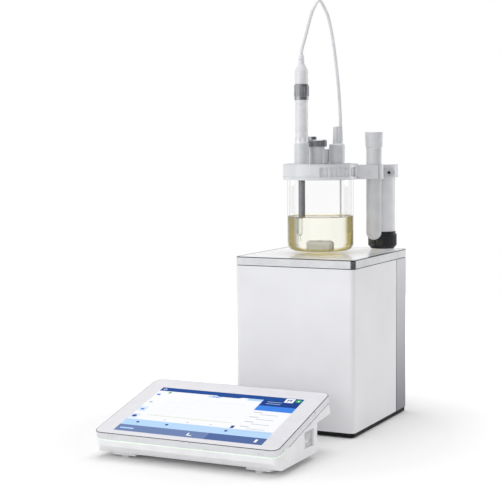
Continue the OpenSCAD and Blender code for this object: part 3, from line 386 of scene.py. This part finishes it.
# ABS, moulded matt: the darkest part, with hardly a highlight
plinth_abs = moulded("matt_black_abs", "#0D0D0F", "#141416", 0.65, IOR=1.35)
# Moulded rubber: black, dull and rough
black_rubber = moulded("black_rubber", "#151515", "#1F1F20", 0.78, grain_mm=0.5, depth_mm=0.02)
# Thermoplastic elastomer: pale, soft sheen, for the lead and its boot
soft_elastomer = moulded("light_soft_elastomer", "#D6D6DA", "#DFDFE3", 0.42, grain_mm=0.6)
# Fluoropolymer: chalk white, lets a little light through
white_ptfe = moulded("white_fluoropolymer", "#F4F4F0", "#FAFAF7", 0.4, depth_mm=0.004,
                     Transmission_Weight=0.35)
# Circuit board with solder resist: mottled green. The back of the display is one too.
board_green = moulded("green_solder_resist", "#1E4A33", "#285C40", 0.4, grain_mm=0.8)
# Cover glass printed pale from behind: flat and mirror smooth
cover_glass = moulded("printed_cover_glass", "#D3D2D7", "#D8D7DC", 0.07, depth_mm=0.0006, Coat_Weight=0.6)
# Frosted polypropylene: light grey, lets some light through
frosted_tube = add_finish("frosted_polypropylene", ("#DDDEE1", "#E6E7E9"), (0.28, 0.4), FROST_CLOUDS,
                          FROST_CLOUDS, FROST, 0.006, IOR=1.49, Transmission_Weight=0.25)
guide_glow = guide_acrylic()
clear_glass = vessel_glass()
clear_tip = tip_glass()
golden_sample = yellow_sample()

FINISHES = {
    white_coat: ["front_cover"],
    silver_paint: ["rear_cover"],
    band_chrome: ["top_band", "guide_post", "drive_magnets"],
    plain_steel: ["mount_plate", "chassis", "stirrer_motor", "power_socket", "data_sockets",
                  "sensor_sockets", "cover_screws", "terminal_screws"],
    white_abs: ["terminal_housing", "column_base", "guide_bush", "blanking_plug",
                "electrode_adapter"],
    electrode_white: ["electrode_head", "electrode_plug"],
    tray_abs: ["top_tray"],
    grey_polyamide: ["arm", "locking_ring"],
    # painted shade: the darker copy of the grey plastic
    shaded_grey_polyamide: ["clamp_knob", "terminal_socket"],
    head_plastic: ["head_plate", "gland", "lead_insert"],
    dark_metallised: ["filling_cap", "vent_stopper", "electrode_collar"],
    painted_frame: ["terminal_frame"],
    pale_rubber: ["terminal_pads"],
    column_plastic: ["column"],
    shaft_epoxy: ["electrode_shaft"],
    plinth_abs: ["base_plate"],
    black_polyamide: ["clamp_nut", "clamp_screw", "socket_panel", "magnet_holder", "board_parts"],
    black_rubber: ["feet", "cover_seal", "tray_seal"],
    soft_elastomer: ["lead_boot"],
    white_ptfe: ["head_seal", "stir_bar", "dosing_tube"],
    board_green: ["mainboard", "power_board", "terminal_board", "display_panel"],
    clear_glass: ["vessel"],
    clear_tip: ["electrode_tip"],
    golden_sample: ["sample"],
    cover_glass: ["terminal_glass"],
    frosted_tube: ["parking_tube"],
    guide_glow: ["light_guide"],
}
for material, names in FINISHES.items():
    for name in names:
        for slot in bpy.data.objects[name].material_slots:
            slot.material = material


# ---- the sample ----

# Radius of the liquid and of its round foot, then height and width of the rim at the glass, in millimetres
SAMPLE_R, SAMPLE_CORNER = 36.6, 7.5
MENISCUS, MENISCUS_W = 0.8, 2.6


def add_sample():
    """The liquid as a turned body with a raised rim at the glass. The wall's refraction makes it seem to
    reach the outside of the glass, so it does here."""
    sides, corner_steps = 96, 8
    rim = SAMPLE_R - MENISCUS_W
    profile = [(0, SAMPLE_FOOT)]
    for k in range(corner_steps + 1):
        a = math.radians(90 * k / corner_steps)
        profile.append((SAMPLE_R - SAMPLE_CORNER * (1 - math.sin(a)),
                        SAMPLE_FOOT + SAMPLE_CORNER * (1 - math.cos(a))))
    profile += [(SAMPLE_R, SAMPLE_LEVEL + MENISCUS), (rim, SAMPLE_LEVEL + MENISCUS),
                (rim - 0.8, SAMPLE_LEVEL + 0.15), (rim - 2.4, SAMPLE_LEVEL), (0, SAMPLE_LEVEL)]
    points, faces = [], []
    for r, z in profile:
        for k in range(sides if r else 1):
            a = k * math.tau / sides
            points.append(((VESSEL_AXIS[0] + r * math.cos(a)) * MM, (VESSEL_AXIS[1] + r * math.sin(a)) * MM,
                           z * MM))
    last = len(points) - 1
    rings = len(profile) - 2
    for k in range(sides):
        n = (k + 1) % sides
        faces.append((0, 1 + n, 1 + k))
        for i in range(rings - 1):
            a, b = 1 + i * sides, 1 + (i + 1) * sides
            faces.append((a + k, a + n, b + n, b + k))
        top = 1 + (rings - 1) * sides
        faces.append((top + k, top + n, last))
    mesh = bpy.data.meshes.new("sample_liquid")
    mesh.from_pydata(points, [], faces)
    mesh.shade_smooth()
    mesh.set_sharp_from_angle(angle=math.radians(25))
    mesh.materials.append(golden_sample)
    liquid = bpy.data.objects.new("sample_liquid", mesh)
    bpy.context.scene.collection.objects.link(liquid)
    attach(liquid, "glass")
    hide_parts("sample")


add_sample()


# ---- the sensor lead ----

LEAD_MM = 3.6
# Middle line of the lead as in the part's source, in millimetres: up out of the boot, over the loop and
# down into the insert
LEAD_ROUTE = [
    (19.48, 64.57, 409.3), (20, 64.6, 414.8), (22, 64.6, 421.8), (25.7, 64.1, 432.8),
    (29, 64.9, 445.8), (31, 67.7, 455.8), (32.1, 72.5, 462.8), (32.2, 78.9, 467.8),
    (31.4, 86, 470.5), (30.5, 93.2, 470), (30.2, 99.8, 466.8), (31, 105.5, 461.3),
    (32.7, 109.3, 453.8), (34.5, 111.7, 442.8), (36.4, 113.1, 430.8), (38.4, 113.9, 415.8),
    (40.4, 114.2, 399.93), (43.2, 113.7, 376.89), (45.4, 112.5, 353.85), (46.4, 111.5, 340.96),
    (46.68, 111.23, 331.2),
]


def catmull(points, steps):
    """Points of a smooth curve through the given ones, with steps per span."""
    line = []
    last = len(points) - 1
    for i in range(last):
        a, b = points[max(i - 1, 0)], points[i]
        c, d = points[min(i + 1, last)], points[min(i + 2, last)]
        for s in range(steps):
            t = s / steps
            line.append(
                0.5 * (2 * b + (c - a) * t + (2 * a - 5 * b + 4 * c - d) * t * t
                       + (3 * b - a - 3 * c + d) * t ** 3)
            )
    return line + [points[last]]


def add_lead():
    """The lead as a curve of one spline along the same line as its solid."""
    points = catmull([Vector(p) * MM for p in LEAD_ROUTE], 4)
    curve = bpy.data.curves.new("sensor_lead", "CURVE")
    curve.dimensions = "3D"
    spline = curve.splines.new("POLY")
    spline.points.add(len(points) - 1)
    for point, place in zip(spline.points, points):
        point.co = (*place, 1)
    curve.bevel_depth = LEAD_MM / 2 * MM
    curve.bevel_resolution = 5
    curve.use_fill_caps = True
    curve.materials.append(soft_elastomer)
    lead = bpy.data.objects.new("sensor_lead", curve)
    bpy.context.scene.collection.objects.link(lead)
    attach(lead, "stand")
    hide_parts("electrode_lead")


add_lead()


# ---- pieces on the terminal's face ----

# Lower left corner of the screen on the face, and its size, in millimetres
SCREEN_CORNER = (18.9, 8.3)
SCREEN_SIZE = (164.7, 104.3)
# Heights over the glass, in millimetres: the lowest ink, and each ink over the one below it
FIRST_LAYER, LAYER = 0.03, 0.012
# Strength of the display's light, and how much of an ink's colour it keeps unlit
SCREEN_GLOW, UNLIT_SHARE = 0.92, 0.08


def on_face(u, v, height=0.0):
    """A point of the sloping face, in millimetres across, up the slope and out of the glass, in metres."""
    up_slope = Vector((0, math.cos(TILT), math.sin(TILT)))
    return (FACE_CORNER + Vector((u, 0, 0)) + v * up_slope + height * FACE_OUT) * MM


def on_screen(a, b, layer=0):
    """A point of the screen: a runs from 0 at the left to 1, b from 0 at the top to 1."""
    u = SCREEN_CORNER[0] + a * SCREEN_SIZE[0]
    v = SCREEN_CORNER[1] + (1 - b) * SCREEN_SIZE[1]
    return on_face(u, v, FIRST_LAYER + LAYER * layer)


def screen_ink(name, code, mottle=5):
    """A lit colour of the display under glossy glass. Its pixels are mottled down by up to 5 steps of
    255, and drawn coarser than they are so that they show."""
    ink, tree, shader = start_material(name, Roughness=0.12, Emission_Strength=SCREEN_GLOW, IOR=1.1)
    dimmer = "#" + "".join(f"{max(int(code[i : i + 2], 16) - mottle, 0):02X}" for i in (1, 3, 5))
    ramp = add_node(tree, "ShaderNodeValToRGB", {"Fac": lay_pattern(tree, SCREEN_PIXELS)})
    for stop, position, tone in zip(ramp.color_ramp.elements, (PATTERN_LOW, PATTERN_HIGH), (dimmer, code)):
        stop.position = position
        stop.color = linear(tone)
    feed(tree, shader, {"Base Color": [c * UNLIT_SHARE for c in linear(code)[:3]] + [1.0],
                        "Emission Color": ramp.outputs["Color"]})
    return ink


INKS = {
    "page": screen_ink("screen_page_white", "#FAFBFE"),
    "bar": screen_ink("screen_bar_blue", "#0B4A98"),
    "block": screen_ink("screen_block_blue", "#093E8E"),
    "bright": screen_ink("screen_bright_blue", "#3D86E8"),
    "pale": screen_ink("screen_pale_blue", "#BCDCFC"),
    "cell": screen_ink("screen_cell_blue", "#DCEBFD"),
    "foot": screen_ink("screen_foot_slate", "#7086B4"),
    "foot_deep": screen_ink("screen_foot_deep", "#526CA3"),
    "icon": screen_ink("screen_icon_blue", "#2A4C94"),
    "grey": screen_ink("screen_line_grey", "#B9BCC6"),
    "faint": screen_ink("screen_grid_faint", "#ECEFF3"),
    "curve": screen_ink("screen_curve_green", "#CFE3AE"),
    "green": screen_ink("screen_mark_green", "#3DB54A"),
}


def sheet_mesh(name, tiles):
    """One flat piece out of tiles, each a list of points and the name of an ink."""
    mesh = bpy.data.meshes.new(name)
    points, faces, inks = [], [], []
    used = list(dict.fromkeys(ink for _, ink in tiles))
    for corners, ink in tiles:
        faces.append(range(len(points), len(points) + len(corners)))
        points += [tuple(c) for c in corners]
        inks.append(used.index(ink))
    mesh.from_pydata(points, [], faces)
    for ink in used:
        mesh.materials.append(INKS[ink])
    for polygon, index in zip(mesh.polygons, inks):
        polygon.material_index = index
    piece = bpy.data.objects.new(name, mesh)
    bpy.context.scene.collection.objects.link(piece)
    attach(piece, "terminal")


def box_tile(a0, b0, a1, b1, ink, layer):
    """A rectangle between two corners of the screen."""
    return [on_screen(a0, b1, layer), on_screen(a1, b1, layer), on_screen(a1, b0, layer),
            on_screen(a0, b0, layer)], ink


def disc_tile(a, b, radius_mm, ink, layer, sides=20):
    """A round spot on the screen."""
    centre = on_screen(a, b, layer)
    across = on_face(1, 0) - on_face(0, 0)
    upward = on_face(0, 1) - on_face(0, 0)
    ring = [centre + radius_mm * (across * math.cos(k * math.tau / sides)
                                  + upward * math.sin(k * math.tau / sides)) for k in range(sides)]
    return ring, ink


def line_tiles(points, width, ink, layer):
    """A thin drawn line through screen points, width as a share of the screen's height."""
    tiles = []
    for (a0, b0), (a1, b1) in zip(points, points[1:]):
        tiles.append(([on_screen(a0, b0 + width, layer), on_screen(a1, b1 + width, layer),
                       on_screen(a1, b1, layer), on_screen(a0, b0, layer)], ink))
    return tiles


def add_screen_picture():
    """A generic instrument screen: bars, a plot, a list of plain lines and simple marks."""
    split, top, tool, foot = 0.745, 0.08, 0.74, 0.868
    tiles = [
        box_tile(0, 0, 1, 1, "page", 0),
        box_tile(0, 0, 1, top, "bar", 1),
        (
            [on_screen(0.44, 0.1, 1), on_screen(0.575, 0.1, 1), on_screen(0.6, top, 1),
             on_screen(0.415, top, 1)],
            "bar",
        ),
        box_tile(split, top, 1, 0.205, "block", 1),
        box_tile(split, 0.205, 1, 0.315, "bright", 1),
        box_tile(0.885, 0.008, 0.945, 0.1, "page", 2),
        box_tile(0.9, 0.035, 0.93, 0.075, "bar", 3),
        box_tile(0.908, 0.05, 0.922, 0.075, "page", 4),
        disc_tile(0.974, 0.05, 3.1, "green", 2),
        disc_tile(0.974, 0.05, 1.0, "page", 3),
        disc_tile(0.03, 0.042, 1.9, "cell", 2),
        disc_tile(0.03, 0.042, 1.1, "bar", 3),
        box_tile(0.37, 0.1, 0.46, 0.128, "pale", 2),
        box_tile(0.395, 0.105, 0.44, 0.123, "bright", 3),
        box_tile(0.64, top, split, 0.125, "pale", 1),
        disc_tile(0.088, 0.112, 1.9, "green", 1),
        box_tile(0, tool, 1, foot, "pale", 1),
        box_tile(0, foot, 0.62, 1, "foot", 1),
        box_tile(0.62, foot, 1, 1, "foot_deep", 1),
        box_tile(0.025, 0.925, 0.12, 0.95, "pale", 2),
        box_tile(0.49, 0.91, 0.5, 0.955, "page", 2),
        box_tile(0.49, 0.95, 0.525, 0.965, "page", 2),
        box_tile(0.935, 0.9, 0.952, 0.96, "page", 2),
        box_tile(0.0, 0.62, 0.058, 0.72, "cell", 1),
        box_tile(0.0, 0.46, 0.058, 0.56, "cell", 1),
        disc_tile(0.028, 0.67, 2.6, "icon", 2),
        box_tile(0.018, 0.5, 0.042, 0.53, "bright", 2),
        box_tile(0.018, 0.335, 0.042, 0.36, "grey", 1),
        box_tile(0.012, 0.15, 0.036, 0.185, "bright", 1),
        box_tile(0.708, 0.675, 0.73, 0.73, "icon", 1),
    ]
    tiles += line_tiles([(0.11, 0.625), (0.69, 0.625)], 0.008, "curve", 2)
    rise = [(0.12 + 0.01 * k, 0.6 - 0.34 / (1 + math.exp(-(k - 14) / 2.4))) for k in range(30)]
    rise += [(0.45, 0.245), (0.55, 0.235), (0.66, 0.23)]
    tiles += line_tiles(rise, 0.006, "faint", 3)
    sheet_mesh("screen_picture", tiles)


def row_tree():
    """Geometry nodes for a row of like tiles: where it starts, the step, the count and the tile."""
    tree = bpy.data.node_groups.new("tile_row", "GeometryNodeTree")
    face = tree.interface
    face.new_socket("Geometry", in_out="OUTPUT", socket_type="NodeSocketGeometry")
    wanted = [("Count", "NodeSocketInt"), ("Start", "NodeSocketVector"), ("Step", "NodeSocketVector"),
              ("Width", "NodeSocketFloat"), ("Height", "NodeSocketFloat"), ("Turn", "NodeSocketVector"),
              ("Finish", "NodeSocketMaterial")]
    for name, kind in wanted:
        face.new_socket(name, in_out="INPUT", socket_type=kind)
    given = add_node(tree, "NodeGroupInput").outputs
    line = add_node(tree, "GeometryNodeMeshLine", {
        "Count": given["Count"], "Start Location": given["Start"], "Offset": given["Step"],
    })
    tile = add_node(tree, "GeometryNodeMeshGrid", {
        "Size X": given["Width"], "Size Y": given["Height"], "Vertices X": 2, "Vertices Y": 2,
    })
    put = add_node(tree, "GeometryNodeInstanceOnPoints", {
        "Points": line.outputs["Mesh"], "Instance": tile.outputs["Mesh"], "Rotation": given["Turn"],
    })
    real = add_node(tree, "GeometryNodeRealizeInstances", {"Geometry": put.outputs["Instances"]})
    inked = add_node(tree, "GeometryNodeSetMaterial", {
        "Geometry": real.outputs["Geometry"], "Material": given["Finish"],
    })
    add_node(tree, "NodeGroupOutput", {"Geometry": inked.outputs["Geometry"]})
    return tree


ROWS = row_tree()


def add_row(name, **values):
    """A piece of the screen made by the row tree, kept as a plain mesh."""
    base = bpy.data.objects.new(name + "_seed", bpy.data.meshes.new(name + "_seed"))
    bpy.context.scene.collection.objects.link(base)
    made = base.modifiers.new("row", "NODES")
    made.node_group = ROWS
    for item in ROWS.interface.items_tree:
        if item.in_out == "INPUT" and item.name in values:
            made[item.identifier] = values[item.name]
    shown = base.evaluated_get(bpy.context.evaluated_depsgraph_get())
    mesh = bpy.data.meshes.new_from_object(shown)
    mesh.name = name
    bpy.data.objects.remove(base)
    piece = bpy.data.objects.new(name, mesh)
    bpy.context.scene.collection.objects.link(piece)
    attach(piece, "terminal")


def add_screen_row(name, ink, start, step, count, width, height, layer):
    """A row of like tiles on the screen, in shares of its width and height."""
    origin = on_screen(*start, layer)
    move = on_screen(start[0] + step[0], start[1] + step[1], layer) - origin
    add_row(name, Count=count, Start=origin, Step=move, Width=width * SCREEN_SIZE[0] * MM,
            Height=height * SCREEN_SIZE[1] * MM, Turn=(TILT, 0, 0), Finish=INKS[ink])


add_screen_picture()
add_screen_row("screen_list_lines", "grey", (0.875, 0.4), (0, 0.104), 4, 0.12, 0.009, 1)
add_screen_row("screen_list_heads", "grey", (0.79, 0.36), (0, 0.104), 4, 0.06, 0.012, 1)
add_screen_row("screen_list_dots", "grey", (0.8, 0.765), (0.0125, 0), 16, 0.006, 0.008, 2)
add_screen_row("screen_plot_columns", "faint", (0.16, 0.4), (0.08, 0), 7, 0.0016, 0.44, 1)
add_screen_row("screen_plot_rows", "faint", (0.4, 0.22), (0, 0.1), 5, 0.54, 0.003, 1)
add_screen_row("screen_axis_marks", "grey", (0.255, 0.705), (0.16, 0), 3, 0.016, 0.012, 1)
add_screen_row("screen_tool_icons", "icon", (0.098, 0.795), (0.2035, 0), 2, 0.02, 0.03, 2)
add_screen_row("screen_tool_marks", "icon", (0.705, 0.795), (0.05, 0), 1, 0.02, 0.03, 2)
add_screen_row("screen_block_lines", "pale", (0.83, 0.115), (0, 0.04), 2, 0.1, 0.008, 2)


# ---- floor, room and lamps ----

# In metres
CENTRE = (0.02, 0.02, 0.15)
FLOOR_R = 1.3
# Strength of the room as light, and of the floor's own white under the object
ROOM_LIGHT = 0.72
FLOOR_GLOW = 0.03


def add_room(dark_side, depth, backdrop, beyond):
    """A white studio with a dark room on one side of it.

    Seen directly it is plain white, and as light it is nearly even. In reflections it is dark about the
    direction dark_side, up to middle height. Through glass it is white about the direction backdrop and
    grey beyond."""
    world = bpy.data.worlds.new("studio")
    bpy.context.scene.world = world
    world.use_nodes = True
    tree = world.node_tree
    at = add_node(tree, "ShaderNodeTexCoord").outputs["Generated"]
    lowered = add_node(tree, "ShaderNodeVectorMath", {0: at, 1: (1, 1, 2.2)}, operation="MULTIPLY")
    flat = add_node(tree, "ShaderNodeVectorMath", {0: lowered.outputs["Vector"]}, operation="NORMALIZE")

    def level_about(vector, direction, limits, levels):
        """A level that changes as a vector turns towards a direction."""
        reach = add_node(tree, "ShaderNodeVectorMath", {0: vector, 1: direction}, operation="DOT_PRODUCT")
        return add_node(tree, "ShaderNodeMapRange", {
            "Value": reach.outputs["Value"], "From Min": limits[0], "From Max": limits[1],
            "To Min": levels[0], "To Max": levels[1],
        }, interpolation_type="SMOOTHSTEP").outputs["Result"]

    mirrored = level_about(flat.outputs["Vector"], dark_side, (0.1, 0.5), (0.92, depth))
    through = level_about(at, backdrop, (0.84, 0.92), (beyond, 1.0))
    level = level_about(flat.outputs["Vector"], dark_side, (0.1, 0.7), (ROOM_LIGHT, 0.42))
    path = add_node(tree, "ShaderNodeLightPath").outputs
    for ray, shown in (("Is Glossy Ray", mirrored), ("Is Transmission Ray", through), ("Is Camera Ray", 1.0)):
        mix = add_node(tree, "ShaderNodeMix", {"Factor": path[ray], "A": level, "B": shown})
        level = mix.outputs["Result"]
    feed(tree, tree.nodes["Background"], {"Strength": level, "Color": (1, 1, 1, 1)})


def add_floor():
    """Round white floor; for the camera and through glass it glows outwards, so only shadows show on it."""
    material, tree, shader = start_material(
        "plain_white_floor", Roughness=0.8, Base_Color=(0.8, 0.8, 0.8, 1), Specular_IOR_Level=0.0,
        Emission_Color=(1, 1, 1, 1),
    )
    path = add_node(tree, "ShaderNodeLightPath").outputs
    seen = add_node(tree, "ShaderNodeMath", {0: path["Is Camera Ray"], 1: path["Is Transmission Ray"]},
                    operation="MAXIMUM")
    at = add_node(tree, "ShaderNodeTexCoord").outputs["Object"]
    away = add_node(tree, "ShaderNodeVectorMath", {0: at}, operation="LENGTH")
    outer = add_node(tree, "ShaderNodeMapRange", {
        "Value": away.outputs["Value"], "From Min": 0.2, "From Max": 0.7, "To Min": FLOOR_GLOW, "To Max": 0.6,
    })
    glow = add_node(tree, "ShaderNodeMath", {0: seen.outputs[0], 1: outer.outputs["Result"]},
                    operation="MULTIPLY")
    feed(tree, shader, {"Emission Strength": glow.outputs[0]})
    sides = 96
    ring = [(FLOOR_R * math.cos(k * math.tau / sides), FLOOR_R * math.sin(k * math.tau / sides), 0)
            for k in range(sides)]
    mesh = bpy.data.meshes.new("floor")
    mesh.from_pydata(ring, [], [range(sides)])
    mesh.materials.append(material)
    floor = bpy.data.objects.new("floor", mesh)
    bpy.context.scene.collection.objects.link(floor)


def add_panel_lamp(name, place, aim, size, power, mirrored=True):
    """A panel lamp; mirrored=False keeps it out of the reflections in polished parts."""
    data = bpy.data.lights.new(name, "AREA")
    data.shape = "RECTANGLE"
    data.size, data.size_y = size
    data.energy = power
    lamp = bpy.data.objects.new(name, data)
    lamp.location = place
    lamp.rotation_euler = (Vector(aim) - Vector(place)).to_track_quat("-Z", "Y").to_euler()
    lamp.visible_glossy = mirrored
    bpy.context.scene.collection.objects.link(lamp)


add_room(dark_side=(0.98, -0.17, 0), depth=0.08, backdrop=(-0.443, 0.894, -0.06), beyond=0.5)
add_floor()
add_panel_lamp("front_left", (-1.2, -1.5, 0.75), CENTRE, (1.6, 1.0), 11)
add_panel_lamp("front", (0.9, -1.9, 0.3), (0.02, 0.0, 0.2), (1.4, 0.8), 5, mirrored=False)
add_panel_lamp("right_rear", (1.1, 1.2, 0.5), (0.1, 0.15, 0.14), (0.6, 0.6), 4)
add_panel_lamp("top", (0.0, 0.3, 2.2), CENTRE, (1.6, 1.6), 22)

bpy.context.scene.view_settings.view_transform = "Standard"
bpy.context.scene.view_settings.look = "None"
